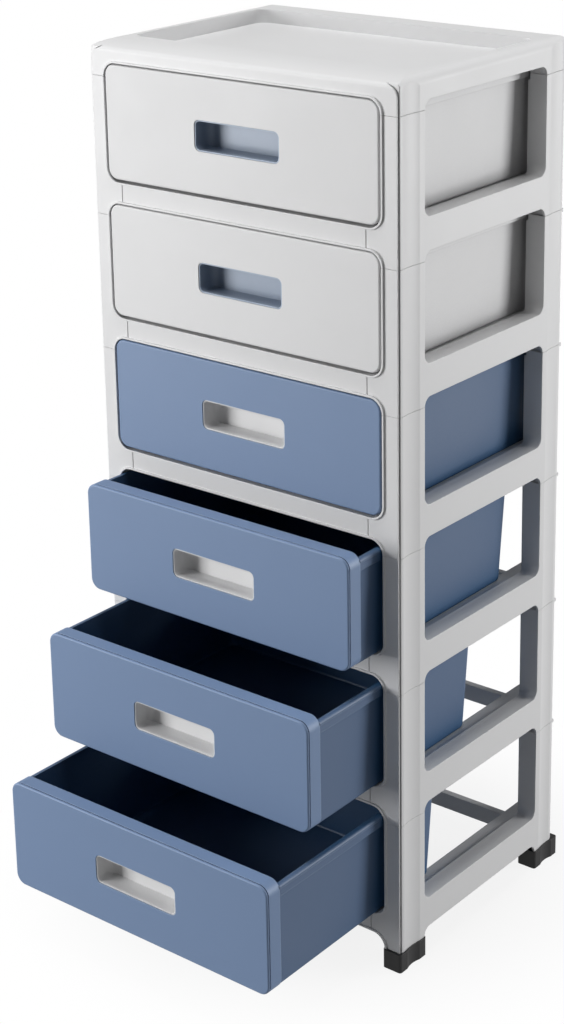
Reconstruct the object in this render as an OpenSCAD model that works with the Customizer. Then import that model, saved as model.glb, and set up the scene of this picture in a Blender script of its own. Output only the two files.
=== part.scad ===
// Tower of plastic drawers. Moulded side frames stack on pegs, one pair to a layer, joined by front and
// rear rails. Each drawer is an open tub that slides on the runners of its two side frames, with a
// clipped-on front and a grip cup let into it. A cover with a shallow tray closes the top, and four
// feet stand under the lowest legs.
// Origin: the centre of the footprint, on the floor. +X right, +Y to the back, +Z up. Millimetres.
// In the modules y counts from the front face of the tower and z from the lower seam of the layer.

/* [Tower] */
// Number of drawer layers
layers = 6; // [1:1:7]
// Width over the two side frames
tower_w = 400; // [320:5:480]
// Depth from the front face to the back of the rear columns
tower_d = 305; // [250:5:380]
// Height of one layer, from seam to seam
pitch = 150; // [130:1:190]
// Wall of the hollow mouldings
skin = 2.5; // [2:0.1:3]
// Gap of the shadow line at each seam
seam_gap = 0.3; // [0.2:0.1:0.8]

/* [Side frames] */
// Thickness of a side frame
frame_t = 20.5; // [19:0.5:24]
// Depth of a column, front and rear
post_d = 44.3; // [40:0.5:56]
// Height of the side rail's underside above the seam
arch_z = 9.4; // [7:0.2:14]
// Height of the window's sill above the seam
sill_z = 43.9; // [41:0.1:56]
// Corner radius of the side window
window_r = 10; // [4:0.5:16]
// Distance from the front to the end of the shallow flute along a column
flute_y = 36; // [30:0.5:39]
// Depth of that flute
flute_d = 1.2; // [0.3:0.1:1.8]
// How far the corner stands back from the flat side
side_set = 0.5; // [0.2:0.1:0.9]
// Radius of the rear corners
rear_r = 13; // [8:0.5:16]
// Distance from the side to the edge of the flat front
plate_in = 2.2; // [2.1:0.1:3]
// Width of the fine groove at the front corner
slot_w = 0.9; // [0.6:0.1:1.2]
// Depth of that groove behind the plane of the lips
slot_d = 6; // [5:0.5:8]
// How far the rounded corner starts behind the plane of the lips
nose_set = 4; // [3:0.2:4.4]
// Height of the pegs that hold one frame on the next
peg_h = 8; // [4:0.5:12]
// Play of a peg in its socket, each side
peg_play = 0.25; // [0.1:0.05:0.5]

/* [Openings and rails] */
// Height of the front rail's underside above the seam
rail_z = 15; // [13:0.5:17]
// Height of the front rail
rail_h = 23; // [19:0.5:23.5]
// Depth of the front rail
rail_d = 22; // [18:0.5:30]
// Reach of the corner gussets inside the posts
gusset_w = 19.5; // [18:0.5:30]
// Corner radius of the drawer opening
opening_r = 15; // [10:0.5:17]
// Width of the lip round the opening
lip_w = 2; // [1.5:0.1:2.6]
// How far the lip stands proud of the posts and rails
lip_h = 1.8; // [1:0.1:2.4]
// Height of the rear rail's underside above the seam
rear_rail_z = 14; // [13:0.5:18]
// Height of the rear rail
rear_rail_h = 19; // [14:0.5:20]
// Thickness of the rear rail
rear_rail_t = 8; // [7:0.5:12]
// Distance from the back of the tower to the rear rail
rear_rail_in = 37; // [30:0.5:45]
// Length of the tongues at the ends of the rails
tongue_l = 9; // [6:0.5:12]
// How far the rear columns are thickened on the inside
pad_t = 2.5; // [1:0.5:4]

/* [Runners] */
// Width of the runner that carries a drawer
runner_w = 18; // [16:0.5:20]
// Thickness of the runner
runner_t = 3; // [2:0.1:4]
// How far the runner lies under the sill
runner_drop = 3.9; // [2:0.1:5]

/* [Drawers] */
// Play of the drawer's front in its opening, each side
front_play = 2; // [1.5:0.1:2.8]
// Gap under the drawer's front
front_low_gap = 3; // [2:0.1:4]
// Gap over the drawer's front
front_top_gap = 1.3; // [1:0.1:2.5]
// Thickness of the drawer's front
front_t = 20; // [18:0.5:26]
// Corner radius of the drawer's front
front_r = 12; // [9:0.5:14]
// Edge rounding of the drawer's front
front_edge = 2; // [1:0.1:3]
// Width of the groove behind that edge
band_w = 1.5; // [0.8:0.1:2]
// Depth of that groove
band_d = 1.3; // [0.6:0.1:1.6]
// Distance from the opening's top to the drawer's rim
rim_gap = 7; // [6.5:0.5:10]
// Play of the drawer's rim between the side frames, each side
rim_play = 2; // [1.6:0.1:3]
// Rounding of the rim's outer edge
rim_r = 3; // [2:0.1:4]
// Height of the band along the rim's edge
rim_band = 4.2; // [4:0.1:6]
// How far the skirt stands back under that band
rim_step = 0.6; // [0.3:0.1:1]
// Depth of the skirt under the rim
skirt_h = 12.5; // [8:0.5:15]
// Distance from the back of the tower to the drawer's rim
back_gap = 4; // [3:0.5:10]
// Width of the rim at the front of the drawer
rim_w = 3.2; // [3:0.1:6]
// Wall of the drawer's tub
tub_wall = 2.2; // [1.8:0.1:2.8]
// Height of the drawer's floor over its runner
tub_lift = 0.4; // [0.3:0.1:1]
// How far the tub narrows towards its back, each side
tub_taper = 2; // [0:0.5:4]
// How far the side walls lean in towards the floor
tub_lean = 4; // [3:0.5:5]
// How far the back wall leans in towards the floor
tub_back_lean = 7; // [5:0.5:14]
// Corner radius of the tub
tub_r = 12; // [10:0.5:16]
// Distance from the pull-out catches to the back of the drawer's floor
held_in = 43.3; // [40:0.1:120]
// How far drawer 4 stands open
out_4 = 54.4; // [0:0.1:150]
// How far drawer 5 stands open
out_5 = 122.5; // [0:0.1:150]
// How far drawer 6 stands open
out_6 = 190; // [0:0.5:190]

/* [Grip cups] */
// Width of the grip opening
cup_w = 111; // [80:1:150]
// Height of the grip opening
cup_h = 33; // [26:1:44]
// Corner radius of the grip opening
cup_r = 6.5; // [4:0.5:9]
// Depth of the cup behind the drawer's face
cup_d = 22.5; // [14:0.5:24]
// Radius of the cup's back corners, seen from above
cup_round = 8; // [4:0.5:9]
// Wall of the cup
cup_wall = 1.8; // [1.5:0.1:2.4]

/* [Cover] */
// Height of the cover above its seam
cover_h = 35.5; // [33:0.5:50]
// Depth of the tray
tray_d = 15.5; // [8:0.5:17.5]
// Width of the cover's top in front of the tray
tray_front = 50; // [44:1:60]
// Width of the cover's top behind the tray
tray_back = 40; // [32:1:50]
// Width of the cover's top beside the tray
tray_side = 17; // [15:0.5:24]
// Corner radius of the tray
tray_r = 14; // [8:0.5:18]
// Radius of the cover's top edges at the sides
cover_r = 11; // [8:0.5:13]
// Radius of the cover's top edge at the back
cover_back_r = 13; // [8:0.5:16]
// Radius of the cover's front edge, where its slope starts
cover_front_r = 5; // [3:0.5:6]
// Radius of the slope from that edge up to the top
brow_r = 98; // [80:1:140]
// Depth of that slope, from the plane of the lips
brow_d = 34; // [28:0.5:40]
// Radius of the upper corners of the flat front
plate_r = 12; // [8:0.5:14]
// Distance from the cover's top down to the centres of those corners
plate_low = 18.5; // [16:0.5:20]

/* [Feet] */
// Height of a foot under the lowest leg
foot_h = 21.5; // [14:0.5:30]
// How far a foot stands proud of the leg
foot_proud = 1.5; // [0.5:0.1:3]
// Depth of the hollow in the foot's outer face
foot_flute = 2; // [1:0.1:2.5]

/* [Hidden] */
$fn = 48;
eps = 0.01;
white = [0.9, 0.91, 0.92];
blue = [0.42, 0.52, 0.68];
black = [0.08, 0.08, 0.09];

open_w = tower_w - 2 * frame_t;            // width between the side frames
rail_top = rail_z + rail_h;                // top of the front rail
open_h = pitch - rail_h;                   // height of a drawer opening
window_w = tower_d - 2 * post_d;           // length of a side window
runner_z = sill_z - runner_drop;           // top of the runner
pad_gap = 3;                               // gap between the drawer's skirt and the pad under it
rear_rail_y = tower_d - rear_rail_in;      // back of the rear rail
plate_x = tower_w / 2 - plate_in;          // half width of the flat front
nose_r = 4.5;                              // depth over which the corner rounds over
core_s = flute_d + side_set + skin;        // hollow of a column: from the outer side
core_y = lip_h + skin;                     // hollow of a column: from its front or back face
seat_w = 1.2;                              // how far a frame's seat reaches past the hollow
rail_x = open_w / 2 - gusset_w;            // half length of the front rail between the gussets
rail_face = lip_h + skin;                  // back of the front rail's face
rail_ribs = 5;                             // ribs in a rail
block_l = 12;                              // length of the block that a tongue stands on
joint_w = 1;                               // shadow line between a rail and its gusset
joint_d = 1.5;
boss_w = runner_w - 3;                     // reach of the rear rail's sockets
boss_wall = 4;                             // wall round the rear rail's sockets
tongue_play = 0.2;                         // play of a tongue in its socket
tongue_in = 2;                             // rear tongue: inside the rail's front and back
tongue_low = 3;                            // rear tongue: inside the rail's top and underside
stop_h = 6;                                // height of the stops behind a drawer
stop_t = 5;                                // thickness of those stops
rib_t = 2;                                 // thickness of the stiffening ribs
rib_pitch = 50;                            // least distance between the ribs under a runner

front_w = open_w - 2 * front_play;                         // the drawer's front
front_z = rail_top + front_low_gap;
front_h = open_h - front_low_gap - front_top_gap;
cup_z = front_z + front_h / 2;                             // centre height of the grip
rim_x = open_w / 2 - rim_play;                             // outer edge of the drawer's rim
rim_z = pitch + rail_z - rim_gap;                          // top of the drawer's rim
rim_back = tower_d - back_gap;                               // back of the drawer's rim
rim_t = 2.2;                                               // thickness of the rim
skirt_t = 1.4;                                             // thickness of its skirt
pad_top = rim_z - skirt_h - pad_gap;                       // top of the pads of the rear columns
tub_z = runner_z + tub_lift;                               // underside of the drawer's floor
tub_top_x = rim_x - rim_w;                                 // half width of the tub at its rim
tub_back = rim_back - rim_w;                               // back of the tub at its rim
tub_floor_r = 1.8;                                         // rounding between floor and walls
tub_foot_back = tub_back - tub_back_lean;                  // back of the tub at its floor
stop_y = tub_foot_back + 1.6;                              // front of the stops behind a drawer
catch_y = tub_foot_back - held_in;                         // front of the pull-out catches
catch_x = 60;                                              // place of the pull-out catches
catch_w = 20;
catch_t = 5;
catch_drop = 2.4;                                          // overlap of a catch with the rail
clip_x = 150;                                              // clips that hold the front on its tub
clip_z = 36;
clip_w = 14;
clip_t = 3;
clip_play = 0.3;
face_t = 3;                                                // thickness of the front's face
cup_play = 0.3;                                            // play of the cup in its opening
cup_flange = 5;                                            // flange of the cup behind the face
cup_rim = 1.5;                                             // width of the cup's rim with its play
cup_set = 0.8;                                             // how far the cup's rim stands back
plate_z = cover_h - plate_low;                             // centres of the flat front's upper corners
plate_turn = 66;                                           // how far those corners turn, in degrees
brow_y = lip_h + cover_front_r;                            // centre of the cover's front edge
brow_turn = asin((brow_d - brow_y) / (brow_r - cover_front_r));
brow_z = cover_h - brow_r + (brow_r - cover_front_r) * cos(brow_turn);

// Lower seam of layer n, counted from the top
function seam_z(n) = foot_h + (layers - n) * pitch;
// How far drawer n stands open
function out(n) = n == 4 ? out_4 : n == 5 ? out_5 : n == 6 ? out_6 : 0;

// Places its children at the front face, on the lower seam of layer n
module at_layer(n) {
    translate([0, -tower_d / 2, seam_z(n)]) children();
}

module at_drawer(n) {
    at_layer(n) translate([0, -out(n), 0]) children();
}

module both_sides() {
    children();
    mirror([1, 0, 0]) children();
}

// Rounded rectangle about the origin
module rounded(w, h, r) {
    square([w - 2 * r, h], center = true);
    square([w, h - 2 * r], center = true);
    for (x = [-1, 1], y = [-1, 1])
        translate([x * (w / 2 - r), y * (h / 2 - r)]) circle(r);
}

// Extrudes an outline drawn in x and z from the front face backwards
module frontal(y0, y1) {
    translate([0, y1, 0]) rotate([90, 0, 0]) linear_extrude(y1 - y0) children();
}

// Extrudes an outline drawn in y and z from x0 to x1
module lateral(x0, x1) {
    translate([x0, 0, 0]) rotate([90, 0, 90]) linear_extrude(x1 - x0) children();
}

// Sweeps a profile round a rounded rectangle: x is the distance inside its outline, y the height
module edge_sweep(w, h, r) {
    for (i = [0:3]) {
        half = i % 2 == 0 ? w / 2 : h / 2;
        run = (i % 2 == 0 ? h : w) - 2 * r;
        rotate([0, 0, 90 * i]) {
            translate([half, run / 2, 0]) rotate([90, 0, 0]) linear_extrude(run)
                mirror([1, 0]) children();
            translate([half - r, run / 2, 0]) rotate_extrude(angle = 90)
                translate([r, 0]) mirror([1, 0]) children();
        }
    }
}

// Points of an arc about a centre, from angle a0 to a1
function arc(at, r, a0, a1, n = 6) =
    [for (i = [0:n]) let (a = a0 + i * (a1 - a0) / n) at + r * [cos(a), sin(a)]];

// A right-hand outline together with its mirror image
function mirrored(right) = concat(right, [for (i = [len(right) - 1:-1:0]) [-right[i][0], right[i][1]]]);

// How far the surface of a column lies inside the flat side, at distance y from the nearer face
function inset(y) = let (s = (flute_y - y) / (flute_y - nose_set - nose_r))
    s * (side_set + 4 * flute_d * (1 - s));
flute_steps = 10;

// One side's outline in plan, from the rounded front corner to the rear face
function side_points() =
    let (w = tower_w / 2, x0 = plate_x + slot_w, y0 = nose_set + nose_r)
    concat(
        [for (a = [0:15:75]) [x0 + (w - side_set - x0) * sin(a), nose_set + nose_r * (1 - cos(a))]],
        [for (i = [0:flute_steps]) let (y = y0 + i * (flute_y - y0) / flute_steps)
            [w - inset(y), y]],
        [for (i = [0:flute_steps - 1]) let (y = flute_y - i * (flute_y - rear_r) / flute_steps)
            [w - inset(y), tower_d - y]],
        arc([w - inset(rear_r) - rear_r, tower_d - rear_r], rear_r, 0, 90));

// Outline of the tower in plan, with the flutes of its columns and without its flat front
module plan() {
    polygon(mirrored(side_points()));
}

// Drawer opening as drawn on the front face, grown by g
module opening(g = 0) {
    translate([0, rail_top + open_h / 2]) rounded(open_w + 2 * g, open_h + 2 * g, opening_r + g);
}

// Raised lips round the layer's own opening and the one below, within x0 to x1 and z0 to z1
module lips(x0, x1, z0, z1) {
    intersection() {
        for (k = [0, 1]) translate([0, 0, -k * pitch]) frontal(0, core_y) difference() {
            opening(lip_w);
            opening();
        }
        translate([x0, -1, z0]) cube([x1 - x0, lip_h + 2, z1 - z0]);
    }
}

module drawer_openings() {
    for (k = [0, 1]) translate([0, 0, -k * pitch]) frontal(-eps, rail_d + eps) opening();
}

// Side window and the arch under the side rail
module window_cut(x0, x1) {
    for (k = [0, 1]) translate([0, tower_d / 2, sill_z - k * pitch]) lateral(x0, x1)
        translate([0, (pitch + arch_z - sill_z) / 2])
            rounded(window_w, pitch + arch_z - sill_z, window_r);
}

// Block that fills a column's hollow less a gap g all round
module column_fill(h, g = 0) {
    for (y = [core_y, tower_d - post_d + skin])
        translate([tower_w / 2 - frame_t + skin + g, y + g, 0])
            cube([frame_t - skin - core_s - 2 * g, post_d - skin - core_y - 2 * g, h]);
}

// Runner along the inside of a side frame, with its ribs and the stop at its back
module runner() {
    x0 = open_w / 2 - runner_w;
    y0 = rail_d - eps;
    translate([x0, y0, runner_z - runner_t]) cube([runner_w + skin, stop_y + stop_t - y0, runner_t]);
    ribs = floor((rear_rail_y - rail_d) / rib_pitch);
    for (i = [1:ribs])
        translate([x0 + rib_t, rail_d + i * (rear_rail_y - rail_d) / (ribs + 1), 0])
            frontal(0, rib_t) polygon([
                [0, runner_z - 2 * runner_t], [0, runner_z - eps], [runner_w, runner_z - eps],
                [runner_w, arch_z + skin]]);
    translate([x0, stop_y, runner_z - eps]) cube([runner_w + skin, stop_t, stop_h]);
}

// Gusset beside the front opening, and the socket for the front rail's tongue
module gusset() {
    difference() {
        translate([rail_x, lip_h, 0])
            cube([gusset_w + skin, rail_d - lip_h, rail_top + opening_r]);
        drawer_openings();
        translate([rail_x - eps, rail_face, rail_z + skin])
            cube([tongue_l + 1, rail_d - rail_face - skin, rail_h - 2 * skin]);
        translate([rail_x - eps, lip_h - eps, rail_z + lip_w])
            cube([joint_w, joint_d, rail_h - 2 * lip_w]);
    }
}

// Socket for the rear rail's tongue, under the end of the runner
module rear_socket() {
    y0 = rear_rail_y - rear_rail_t - boss_wall;
    z0 = rear_rail_z - tongue_in;
    difference() {
        translate([open_w / 2 - boss_w, y0, z0])
            cube([boss_w + skin, rear_rail_t + 2 * boss_wall, runner_z - z0 - eps]);
        translate([open_w / 2 - boss_w - eps, rear_rail_y - rear_rail_t + tongue_in - tongue_play,
            rear_rail_z + tongue_low - tongue_play])
            cube([tongue_l + 1, rear_rail_t - 2 * (tongue_in - tongue_play),
                rear_rail_h - 2 * (tongue_low - tongue_play)]);
    }
}

// Thickening on the inside of the rear column, beside the tub and under its rim
module rear_pad() {
    translate([open_w / 2 - pad_t, tower_d - post_d, sill_z])
        cube([pad_t + skin / 2, post_d - rear_r, pad_top - sill_z]);
}

module right_frame() {
    x0 = tower_w / 2 - frame_t;
    difference() {
        union() {
            intersection() {
                translate([x0, 0, 0]) cube([frame_t, tower_d, pitch - seam_gap]);
                translate([0, 0, -eps]) linear_extrude(pitch) plan();
            }
            translate([x0, lip_h, 0]) cube([plate_x - x0, slot_d + skin - lip_h, pitch - seam_gap]);
            lips(rail_x, plate_x, 0, pitch - seam_gap);
            // seat of the next frame, just inside the shadow line
            translate([0, 0, pitch - skin - 1]) column_fill(skin + 1, -seat_w);
            gusset();
            runner();
            rear_socket();
        }
        window_cut(x0 - eps, tower_w / 2 + eps);
        translate([plate_x, 0, -eps]) cube([slot_w, slot_d, pitch]);
        translate([0, 0, -eps]) column_fill(pitch - skin - 1);
        // hollow of the side rail, open downwards
        translate([x0 + skin, post_d - skin, -eps])
            cube([frame_t - 2 * skin, window_w + 2 * skin, sill_z - skin]);
    }
    rear_pad();
    translate([0, 0, pitch - eps]) column_fill(peg_h, peg_play);
}

module side_frame(side) {
    color(white) {
        if (side > 0) right_frame();
        else mirror([1, 0, 0]) right_frame();
    }
}

// Front rail: a channel open to the back, with ribs and a tongue at each end
module front_rail() {
    rib_step = 2 * (rail_x - block_l) / (rail_ribs + 1);
    color(white) difference() {
        union() {
            difference() {
                translate([-rail_x, lip_h, rail_z]) cube([2 * rail_x, rail_d - lip_h, rail_h]);
                translate([-rail_x - eps, rail_face, rail_z + skin])
                    cube([2 * (rail_x + eps), rail_d, rail_h - 2 * skin]);
            }
            lips(-rail_x, rail_x, rail_z, rail_top);
            for (i = [1:rail_ribs])
                translate([block_l - rail_x + i * rib_step - rib_t / 2, rail_face - eps,
                    rail_z + skin - eps])
                    cube([rib_t, rail_d - rail_face, rail_h - 2 * skin + 2 * eps]);
            both_sides() translate([rail_x - block_l, rail_face + tongue_play, rail_z + skin])
                cube([block_l + tongue_l, rail_d - rail_face - skin - 2 * tongue_play,
                    rail_h - 2 * skin]);
        }
        both_sides() translate([rail_x, 0, rail_z + skin - eps])
            cube([tongue_l + 1, rail_d, tongue_play]);
        both_sides() translate([rail_x, 0, rail_top - skin - tongue_play])
            cube([tongue_l + 1, rail_d, tongue_play + eps]);
    }
}

// Rear rail: a channel open to the back, with ribs and a tongue at each end
module rear_rail() {
    x1 = open_w / 2 - boss_w;
    y0 = rear_rail_y - rear_rail_t;
    color(white) {
        difference() {
            translate([-x1, y0, rear_rail_z]) cube([2 * x1, rear_rail_t, rear_rail_h]);
            translate([block_l / 2 - x1, y0 + skin, rear_rail_z + skin])
                cube([2 * x1 - block_l, rear_rail_t, rear_rail_h - 2 * skin]);
        }
        for (i = [1:rail_ribs])
            translate([2 * x1 * i / (rail_ribs + 1) - x1 - rib_t / 2, y0 + skin - eps,
                rear_rail_z + skin - eps])
                cube([rib_t, rear_rail_t - skin, rear_rail_h - 2 * skin + 2 * eps]);
        both_sides() translate([x1 - eps, y0 + tongue_in, rear_rail_z + tongue_low])
            cube([tongue_l, rear_rail_t - 2 * tongue_in, rear_rail_h - 2 * tongue_low]);
    }
}

// Outline of the tub in plan, g inside its outer face: lean_x and lean_y draw it in towards the floor
module tub_slice(z, g, lean_x, lean_y) {
    r = tub_r - g;
    front = tub_top_x - lean_x - g;
    back = front - tub_taper;
    translate([0, 0, z]) linear_extrude(eps) {
        for (s = [-1, 1]) {
            translate([s * (back - r), tub_back - lean_y - g - r]) circle(r);
            translate([s * (front - 3), front_t + g + 3]) circle(3);
        }
    }
}

// The tub's body, g inside its outer face
module tub_solid(g, top) {
    hull() {
        tub_slice(top, g, 0, 0);
        tub_slice(tub_z + g + tub_floor_r, g, tub_lean, tub_back_lean - 0.3);
        tub_slice(tub_z + g, g + tub_floor_r - 1, tub_lean, tub_back_lean);
    }
}

// Section of the drawer's rim: x is the distance inside its outer edge, y the height
module rim_section() {
    difference() {
        union() {
            translate([0, -rim_t]) square([tub_r, rim_t]);
            translate([0, -rim_band]) square([rim_step + skirt_t, rim_band]);
            translate([rim_step, -skirt_h]) square([skirt_t, skirt_h]);
        }
        difference() {
            translate([-eps, -rim_r]) square([rim_r + eps, rim_r + eps]);
            translate([rim_r, -rim_r]) circle(rim_r);
        }
    }
}

module drawer_body(n) {
    color(n <= 2 ? white : blue) difference() {
        union() {
            tub_solid(0, rim_z - 1);
            intersection() {
                translate([0, rim_back / 2, rim_z]) edge_sweep(2 * rim_x, rim_back, tub_r) rim_section();
                translate([-tower_w, front_t, 0]) cube([2 * tower_w, tower_d, 2 * pitch]);
            }
            both_sides() translate([catch_x - catch_w / 2, catch_y, rail_top - catch_drop])
                cube([catch_w, catch_t, tub_z - rail_top + catch_drop + 1]);
        }
        tub_solid(tub_wall, rim_z + 1);
        // room for the cup and the clips of the front
        translate([0, 0, cup_z]) frontal(front_t - eps, front_t + tub_wall + cup_flange)
            square([cup_w + 2 * (cup_wall + 1), cup_h + 2 * (cup_wall + 1)], center = true);
        clips(clip_play);
    }
}

// Clips on the back of the drawer's front, grown by g
module clips(g = 0) {
    for (x = [-1, 1], z = [-1, 1])
        translate([x * clip_x - clip_w / 2 - g, face_t - eps, cup_z + z * clip_z - clip_t / 2 - g])
            cube([clip_w + 2 * g, front_t - face_t + tub_wall + 4 + g, clip_t + 2 * g]);
}

module grip_hole(g = 0) {
    translate([0, cup_z]) rounded(cup_w + 2 * g, cup_h + 2 * g, cup_r + g);
}

// Drawer front: a shallow cap with a rounded edge and a fine groove round it, open to the back
module drawer_front(n) {
    color(n <= 2 ? white : blue) {
        difference() {
            translate([0, front_t, front_z + front_h / 2]) rotate([90, 0, 0]) {
                edge_sweep(front_w, front_h, front_r) difference() {
                    square([front_r, front_t]);
                    translate([-eps, front_t - front_edge]) difference() {
                        square([front_edge, front_edge + eps]);
                        translate([front_edge + eps, 0]) circle(front_edge);
                    }
                    translate([-eps, front_t - front_edge - band_w]) square([band_d + eps, band_w]);
                }
                linear_extrude(front_t)
                    square([front_w - 2 * front_r, front_h - 2 * front_r], center = true);
            }
            frontal(face_t, front_t + eps) translate([0, front_z + front_h / 2])
                rounded(front_w - 2 * skin, front_h - 2 * skin, front_r - skin);
            frontal(-1, face_t + 1) grip_hole();
        }
        clips();
    }
}

// Pocket of the cup from depth y0, g outside its inner face: rounded at the back corners in plan
module cup_form(y0, g) {
    half = cup_w / 2 - cup_rim + g;
    r = cup_round + g;
    intersection() {
        frontal(y0, cup_d + g) grip_hole(g - cup_rim);
        linear_extrude(2 * pitch) {
            translate([-half, y0]) square([2 * half, cup_d + g - r - y0]);
            translate([r - half, y0]) square([2 * (half - r), cup_d + g - y0]);
            for (x = [-1, 1])
                translate([x * (half - r), cup_d + g - r]) circle(r);
        }
    }
}

// Grip cup: a pocket with a rim in the face's opening and a flange behind the face
module handle_cup(n) {
    color(n <= 2 ? blue : white) difference() {
        union() {
            frontal(cup_set, face_t + 1) grip_hole(-cup_play);
            frontal(face_t, face_t + 2) grip_hole(cup_flange);
            cup_form(face_t, cup_wall);
        }
        cup_form(cup_set - 1, 0);
    }
}

// Outline of the cover's flat front, grown by g: its corners turn in and run out over the slope
module plate_outline(g) {
    side = concat([[plate_x + g, -1]],
        arc([plate_x - plate_r, plate_z], plate_r + g, 0, plate_turn, 12));
    end = side[len(side) - 1];
    rise = cover_h + 1 - end[1];
    polygon(mirrored(concat(side, [[end[0] - rise * tan(plate_turn), end[1] + rise]])));
}

// Cover's outline seen from the side: the front edge, the slope behind it and the rounded back
module cover_profile() {
    polygon(concat(
        [[lip_h, 0]],
        arc([brow_y, brow_z], cover_front_r, 180, 90 + brow_turn, 8),
        arc([brow_d, cover_h - brow_r], brow_r, 90 + brow_turn, 90, 10),
        arc([tower_d - cover_back_r, cover_h - cover_back_r], cover_back_r, 90, 0, 10),
        [[tower_d, 0]]));
}

// Cover's outer form, with the groove that sets off its flat front
module cover_form() {
    difference() {
        intersection() {
            union() {
                translate([0, 0, -1]) linear_extrude(cover_h + 2) plan();
                frontal(lip_h, slot_d + skin) plate_outline(0);
            }
            translate([0, 0, cover_h - tower_w / 2]) frontal(-1, tower_d + 1)
                rounded(tower_w, tower_w, cover_r);
            lateral(-tower_w, tower_w) cover_profile();
        }
        frontal(-1, slot_d) difference() {
            plate_outline(slot_w);
            plate_outline(0);
        }
    }
}

// Hollow of the cover, grown by g: it stays a skin inside the rounded outside
module cover_hollow(g = 0) {
    x1 = tower_w / 2 - core_s + g;
    x0 = tower_w / 2 - cover_r;
    y1 = tower_d - core_y + g;
    top = cover_h - skin + g;
    intersection() {
        frontal(core_y - g, y1) polygon([
            [-x1, -1], [-x1, cover_h - cover_r], [-x0, top],
            [x0, top], [x1, cover_h - cover_r], [x1, -1]]);
        lateral(-tower_w, tower_w) polygon(concat(
            [[core_y - g, -1], [core_y - g, brow_z]],
            arc([brow_d, cover_h - brow_r], brow_r - skin + g, 90 + brow_turn, 90, 4),
            [[tower_d - cover_back_r, top], [y1, cover_h - cover_back_r], [y1, -1]]));
    }
}

module tray_outline(g) {
    length = tower_d - tray_front - tray_back;
    translate([0, tray_front + length / 2])
        rounded(tower_w - 2 * tray_side + 2 * g, length + 2 * g, tray_r + g);
}

module top_cover() {
    tray_z = cover_h - tray_d;
    color(white) difference() {
        union() {
            difference() {
                cover_form();
                cover_hollow();
            }
            translate([0, 0, tray_z - skin]) linear_extrude(tray_d + skin / 2) tray_outline(skin);
            // inner skins of the four legs, and the returns of the side windows
            intersection() {
                cover_hollow(skin / 4);
                both_sides() {
                    translate([open_w / 2, 0, 0]) cube([skin, tower_d, cover_h]);
                    for (y = [post_d - skin, tower_d - post_d])
                        translate([open_w / 2, y, 0]) cube([frame_t, skin, cover_h]);
                }
            }
            both_sides() translate([rail_x, lip_h, 0])
                cube([gusset_w + skin, rail_d - lip_h, tray_z]);
            lips(-plate_x, plate_x, 0, cover_h);
        }
        translate([0, 0, tray_z]) linear_extrude(tray_d + 1) tray_outline(0);
        translate([0, 0, -pitch]) frontal(-eps, tower_d + eps) opening();
        window_cut(-tower_w, tower_w);
    }
}

// Foot cap: a hollowed block under a leg, with a stub that plugs into the column
module foot(side, rear) {
    w = frame_t + 2 * foot_proud;
    d = post_d + 2 * foot_proud;
    x = side * (tower_w / 2 - frame_t / 2);
    y = rear ? tower_d / 2 - post_d / 2 : -tower_d / 2 + post_d / 2;
    color(black) {
        difference() {
            translate([x, y, 0]) linear_extrude(foot_h) rounded(w, d, foot_r);
            translate([x + side * (w / 2 + foot_flute_r - foot_flute), y, -1])
                cylinder(h = foot_h + 2, r = foot_flute_r, $fn = 96);
        }
        mirror([side > 0 ? 0 : 1, 0, 0]) translate([0, -tower_d / 2, foot_h - eps])
            intersection() {
                column_fill(peg_h, peg_play);
                translate([0, rear ? tower_d / 2 : 0, -1]) cube([tower_w, tower_d / 2, peg_h * 2]);
            }
    }
}
foot_r = 3;
foot_flute_r = (post_d * post_d / 16 + foot_flute * foot_flute) / (2 * foot_flute);

at_layer(0) top_cover();
for (n = [1:layers]) {
    at_layer(n) side_frame(-1);
    at_layer(n) side_frame(1);
    at_layer(n) front_rail();
    at_layer(n) rear_rail();
    at_drawer(n) drawer_body(n);
    at_drawer(n) drawer_front(n);
    at_drawer(n) handle_cup(n);
}
foot(-1, false);  // foot_front_left
foot(1, false);  // foot_front_right
foot(-1, true);  // foot_rear_left
foot(1, true);  // foot_rear_right
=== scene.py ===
"""Looks of the plastic drawer tower: its finishes, the studio floor, the lights and the camera.

Metres, in the tower's own frame: the origin is on the floor under its middle, +X to the right of
someone facing the drawers, +Y to the back and +Z up.
"""
import math

import bpy
from mathutils import Matrix, Vector

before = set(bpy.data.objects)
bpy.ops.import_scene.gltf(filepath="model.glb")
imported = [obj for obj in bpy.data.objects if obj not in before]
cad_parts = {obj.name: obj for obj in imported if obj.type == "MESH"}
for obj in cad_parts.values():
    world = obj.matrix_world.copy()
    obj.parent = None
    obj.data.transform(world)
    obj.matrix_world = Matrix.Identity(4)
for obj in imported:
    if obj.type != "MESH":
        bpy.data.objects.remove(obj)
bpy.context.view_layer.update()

MM = 0.001
WHITE = (1.0, 1.0, 1.0, 1.0)


# ---------------------------------------------------------------- shader wiring

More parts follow.
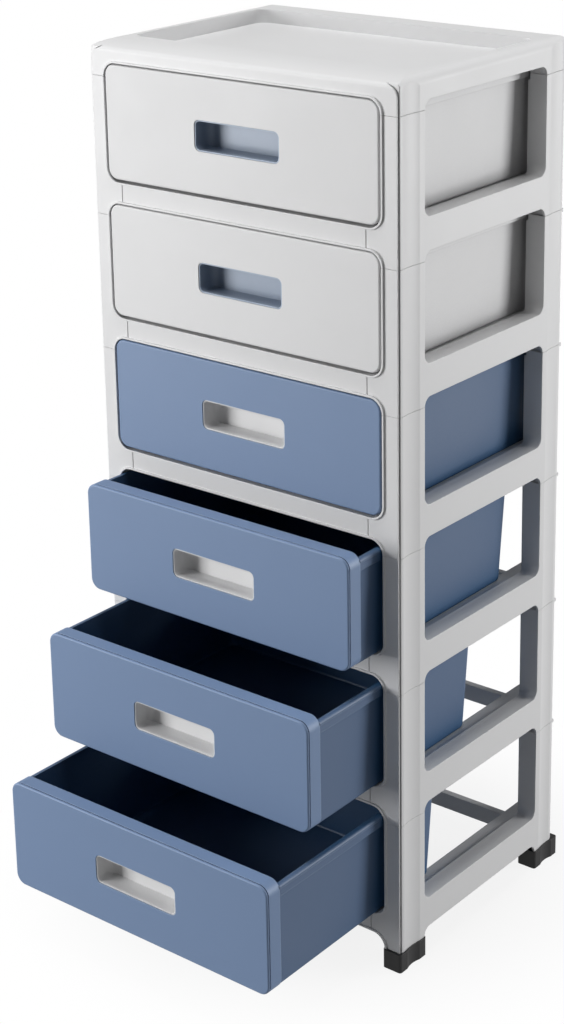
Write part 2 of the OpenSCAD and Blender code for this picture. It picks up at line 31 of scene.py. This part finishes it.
class Wire:
    """An output of a node tree. Arithmetic on it adds Math nodes, and node() adds any other node."""

    def __init__(self, tree, socket=None):
        self.tree = tree
        self.socket = socket

    def node(self, kind, settings=None, sockets=None, output=0):
        """Adds a node, its settings first and then its sockets' values or links; returns an output."""
        made = self.tree.nodes.new("ShaderNode" + kind)
        for name, value in (settings or {}).items():
            setattr(made, name, value)
        for name, value in (sockets or {}).items():
            if isinstance(value, Wire):
                self.tree.links.new(value.socket, made.inputs[name])
            else:
                made.inputs[name].default_value = value
        return Wire(self.tree, made.outputs[output] if len(made.outputs) else None)

    def math(self, operation, *values, clamp=False):
        settings = {"operation": operation, "use_clamp": clamp}
        return self.node("Math", settings, dict(enumerate(values)))

    def __add__(self, other):
        return self.math("ADD", self, other)

    __radd__ = __add__

    def __sub__(self, other):
        return self.math("SUBTRACT", self, other)

    def __rsub__(self, other):
        return self.math("SUBTRACT", other, self)

    def __mul__(self, other):
        return self.math("MULTIPLY", self, other)

    __rmul__ = __mul__

    def clamped(self):
        return self.math("ADD", self, 0.0, clamp=True)

    def ramp(self, low, high):
        """0 where the value is at or under low, 1 from high on, smooth between."""
        settings = {"interpolation_type": "SMOOTHSTEP"}
        return self.node("MapRange", settings, {"Value": self, "From Min": low, "From Max": high})


def emptied(block):
    """Turns on the nodes of a material or world, empties its tree and returns a start for wires."""
    block.use_nodes = True
    block.node_tree.nodes.clear()
    return Wire(block.node_tree)


def mixed(factor, a, b):
    """Colour a where the factor is 0, b where it is 1."""
    factor_socket, a_socket, b_socket, colour_output = 0, 6, 7, 2
    sockets = {factor_socket: factor, a_socket: a, b_socket: b}
    return factor.node("Mix", {"data_type": "RGBA"}, sockets, colour_output)


def noise(place, scale, detail):
    """Soft noise from 0 to 1 at so many features a metre."""
    sockets = {"Vector": place, "Scale": scale, "Detail": detail, "Roughness": 0.5}
    return place.node("TexNoise", {}, sockets)


def tint(colour, share=1.0):
    """The colour times a share, as an RGBA value."""
    return tuple(c * share for c in colour) + (1.0,)


# ---------------------------------------------------------------- finishes

ray_samples = 6           # of the soft edges and of the grooves
groove_reach = 5.0 * MM   # how near a groove's walls are
well_reach = 120.0 * MM   # how near the walls of a tub or a cup are
tone_spread = 0.025       # how far the plastic's tone strays from its mean
gloss_spread = 0.12
groove_shade_share = 0.35         # how far painted shade darkens a groove
groove_shade_tone = 0.45          # how dark that painted shade is, as a share of the plastic's tone
ripple_height = 6.0       # height of the broad ripple in units of the grain's


def moulded_plastic(name, colour, highlight_tone, roughness, grain, edge, shade=0.0, shade_tone=(0.0, 0.0, 0.0)):
    """Moulded polypropylene: cloudy tone, fine grain, soft edges with a painted highlight, painted shade
    in the grooves.

    colour is the linear tone and the second tone that of the painted highlight on its edges. grain is
    the height of its surface grain and edge the radius of its edges, in metres. shade is how far the
    tone sinks, as painted shade, to the dark shade tone inside a tub or cup."""
    material = bpy.data.materials.new(name)
    start = emptied(material)
    place = start.node("TexCoord", output="Object")

    cloud = noise(place, 7.0, 3.0)
    flow = noise(place, 45.0, 2.0)
    tone = mixed((cloud * 0.7 + flow * 0.3).clamped(),
                 tint(colour, 1.0 - tone_spread), tint(colour, 1.0 + tone_spread))

    soft = start.node("Bevel", {"samples": ray_samples}, {"Radius": edge})
    true_normal = start.node("NewGeometry", output="True Normal")
    match = start.node("VectorMath", {"operation": "DOT_PRODUCT"}, {0: soft, 1: true_normal}, "Value")
    openness = {"samples": ray_samples}
    groove = start.node("AmbientOcclusion", openness, {"Distance": groove_reach}, "AO")
    # painted highlight: edges clear of grooves are lightened to the highlight tone, standing in for
    # light catching them
    edge_highlight = (1.0 - match).ramp(0.01, 0.12) * groove.ramp(0.15, 0.55)
    tone = mixed(edge_highlight, tone, tint(highlight_tone))
    # painted shade: grooves and gaps are darkened by how closed in they are, standing in for the shade
    # falling there
    groove_shade = (1.0 - groove).ramp(0.35, 1.0) * groove_shade_share
    tone = mixed(groove_shade, tone, tint(colour, groove_shade_tone))
    # painted shade: inside a tub or cup the tone sinks toward a dark tone as the walls close in
    if shade:
        well = start.node("AmbientOcclusion", openness, {"Distance": well_reach}, "AO")
        tone = mixed((1.0 - well).ramp(0.15, 0.6) * shade, tone, tint(shade_tone))

    wear = noise(place, 22.0, 3.0)
    gloss = (wear - 0.5) * gloss_spread + roughness
    pebble = noise(place, 1400.0, 1.0)
    ripple = noise(place, 38.0, 1.0)
    height = pebble * grain + ripple * (ripple_height * grain)
    bumped = start.node("Bump", {}, {"Strength": 1.0, "Distance": 1.0, "Height": height, "Normal": soft})
    shader = start.node("BsdfPrincipled", {}, {
        "Base Color": tone, "Roughness": gloss.clamped(), "Normal": bumped, "IOR": 1.49})
    start.node("OutputMaterial", {}, {"Surface": shader})
    return material


white_tone = (0.78, 0.78, 0.785)
# painted highlight tone of the white edges
white_highlight = (0.82, 0.82, 0.825)
# painted shade tone inside the white tubs
grey_shade_tone = (0.30, 0.30, 0.31)
# painted highlight tone of the blue edges
blue_highlight = (0.46, 0.57, 0.74)
finishes = {
    name: moulded_plastic(name, *look) for name, look in {
        # tone, painted highlight tone, roughness, grain, edge, painted shade share, painted shade tone
        "frame_white": (white_tone, white_highlight, 0.42, 0.004 * MM, 0.9 * MM),
        "tub_white": (white_tone, white_highlight, 0.50, 0.006 * MM, 0.7 * MM, 0.5, grey_shade_tone),
        "front_white": (white_tone, white_highlight, 0.50, 0.006 * MM, 0.7 * MM),
        # painted shade: the tub's blue is a darker copy of the front's blue, standing in for the shade
        # on the drawers' sides
        "tub_blue": ((0.092, 0.147, 0.255), blue_highlight, 0.50, 0.006 * MM, 0.7 * MM,
                     1.0, (0.014, 0.080, 0.190)),
        "front_blue": ((0.183, 0.270, 0.440), blue_highlight, 0.50, 0.006 * MM, 0.7 * MM),
        "cup_white": (white_tone, white_highlight, 0.38, 0.003 * MM, 0.7 * MM),
        "cup_blue": ((0.42, 0.49, 0.60), blue_highlight, 0.38, 0.003 * MM, 0.7 * MM,
                     0.4, (0.10, 0.14, 0.20)),
        "foot_black": ((0.004, 0.004, 0.0045), (0.02, 0.02, 0.021), 0.5, 0.010 * MM, 0.8 * MM),
    }.items()
}
white_drawers = 2  # the upper drawers are white with blue cups, the others blue with white cups


def finish_of(name):
    """The finish of a node: the tower's, or its drawer's by the drawer's number."""
    if name.startswith("foot"):
        return finishes["foot_black"]
    if not name.startswith(("drawer", "handle")):
        return finishes["frame_white"]
    upper = int(name.split("_")[-1]) <= white_drawers
    if name.startswith("handle_cup"):
        return finishes["cup_blue" if upper else "cup_white"]
    kind = "front" if name.startswith("drawer_front") else "tub"
    return finishes[kind + ("_white" if upper else "_blue")]


for name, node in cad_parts.items():
    node.data.materials.clear()
    node.data.materials.append(finish_of(name))


# ---------------------------------------------------------------- studio

def put_in_scene(thing):
    bpy.context.scene.collection.objects.link(thing)


def seen_ray(start):
    """1 for rays from the camera, by way of clear parts too, and less for its reflections."""
    camera = start.node("LightPath", output="Is Camera Ray")
    glossy = start.node("LightPath", output="Is Glossy Ray")
    clear = start.node("LightPath", output="Is Transmission Ray")
    return (camera + glossy * 0.5 + clear).clamped()


def pale_floor():
    """A white floor that keeps the tower's shadow; far out the camera sees it as plain white.

    Light falls back from it as from a grey floor, so that it doesn't fill the tower from below."""
    near, far = 0.15, 0.42  # where the floor's own white begins and where it is whole
    glow_near = 0.85        # its share at the tower
    reach = 12.0
    material = bpy.data.materials.new("studio_floor")
    start = emptied(material)
    place = start.node("TexCoord", output="Object")
    distance = start.node("VectorMath", {"operation": "LENGTH"}, {0: place}, "Value")
    plain = distance.ramp(near, far) * (1.0 - glow_near) + glow_near
    pale = mixed(seen_ray(start), tint((0.35, 0.35, 0.35)), tint((0.8, 0.8, 0.8)))
    matt = start.node("BsdfDiffuse", {}, {"Color": pale})
    glow = start.node("Emission", {}, {"Color": WHITE, "Strength": 1.0})
    floor_shader = start.node("MixShader", {}, {0: seen_ray(start) * plain, 1: matt, 2: glow})
    start.node("OutputMaterial", {}, {"Surface": floor_shader})
    mesh = bpy.data.meshes.new("studio_floor")
    corners = [(-reach, -reach, 0), (reach, -reach, 0), (reach, reach, 0), (-reach, reach, 0)]
    mesh.from_pydata(corners, [], [(0, 1, 2, 3)])
    mesh.materials.append(material)
    floor = bpy.data.objects.new("studio_floor", mesh)
    put_in_scene(floor)


def studio_world():
    """White to the camera and in reflections, a low even grey as light."""
    world = bpy.data.worlds.new("studio")
    bpy.context.scene.world = world
    start = emptied(world)
    ambient = start.node("Background", {}, {"Color": WHITE, "Strength": 0.06})
    backdrop = start.node("Background", {}, {"Color": WHITE, "Strength": 1.0})
    both = start.node("MixShader", {}, {0: seen_ray(start), 1: ambient, 2: backdrop})
    start.node("OutputWorld", {}, {"Surface": both})


def soft_box(name, place, width, height, power):
    """A rectangular studio lamp that faces the middle of the tower."""
    middle = Vector((0.0, 0.0, 0.5))
    data = bpy.data.lights.new(name, "AREA")
    data.shape = "RECTANGLE"
    data.size = width
    data.size_y = height
    data.energy = power
    lamp = bpy.data.objects.new(name, data)
    lamp.location = place
    lamp.rotation_mode = "QUATERNION"
    lamp.rotation_quaternion = (middle - Vector(place)).to_track_quat("-Z", "Y")
    put_in_scene(lamp)


def studio_camera():
    """The photograph's view: fitted to the tower's seams, corners and drawer faces."""
    azimuth = math.radians(39.26)
    elevation = math.radians(16.52)
    roll = math.radians(-1.08)
    back = Vector((math.sin(azimuth) * math.cos(elevation), -math.cos(azimuth) * math.cos(elevation),
                   math.sin(elevation)))
    level = Vector((math.cos(azimuth), math.sin(azimuth), 0.0))
    upright = back.cross(level)
    right = level * math.cos(roll) + upright * math.sin(roll)
    up = upright * math.cos(roll) - level * math.sin(roll)
    data = bpy.data.cameras.new("photo_camera")
    data.sensor_width = 36.0
    data.lens = 76.554
    data.shift_y = -0.20703
    camera = bpy.data.objects.new("photo_camera", data)
    camera.matrix_world = Matrix((right, up, back)).transposed().to_4x4()
    camera.location = Vector((1.38334, -1.77691, 1.34059))
    put_in_scene(camera)
    bpy.context.scene.camera = camera


pale_floor()
studio_world()
soft_box("key", (-2.1, -2.3, 0.9), 1.4, 1.6, 78.0)
soft_box("side", (2.4, 2.0, 0.8), 1.2, 1.6, 66.0)
soft_box("top", (0.0, -0.3, 3.0), 1.0, 1.0, 36.0)
studio_camera()
bpy.context.scene.view_settings.view_transform = "Standard"
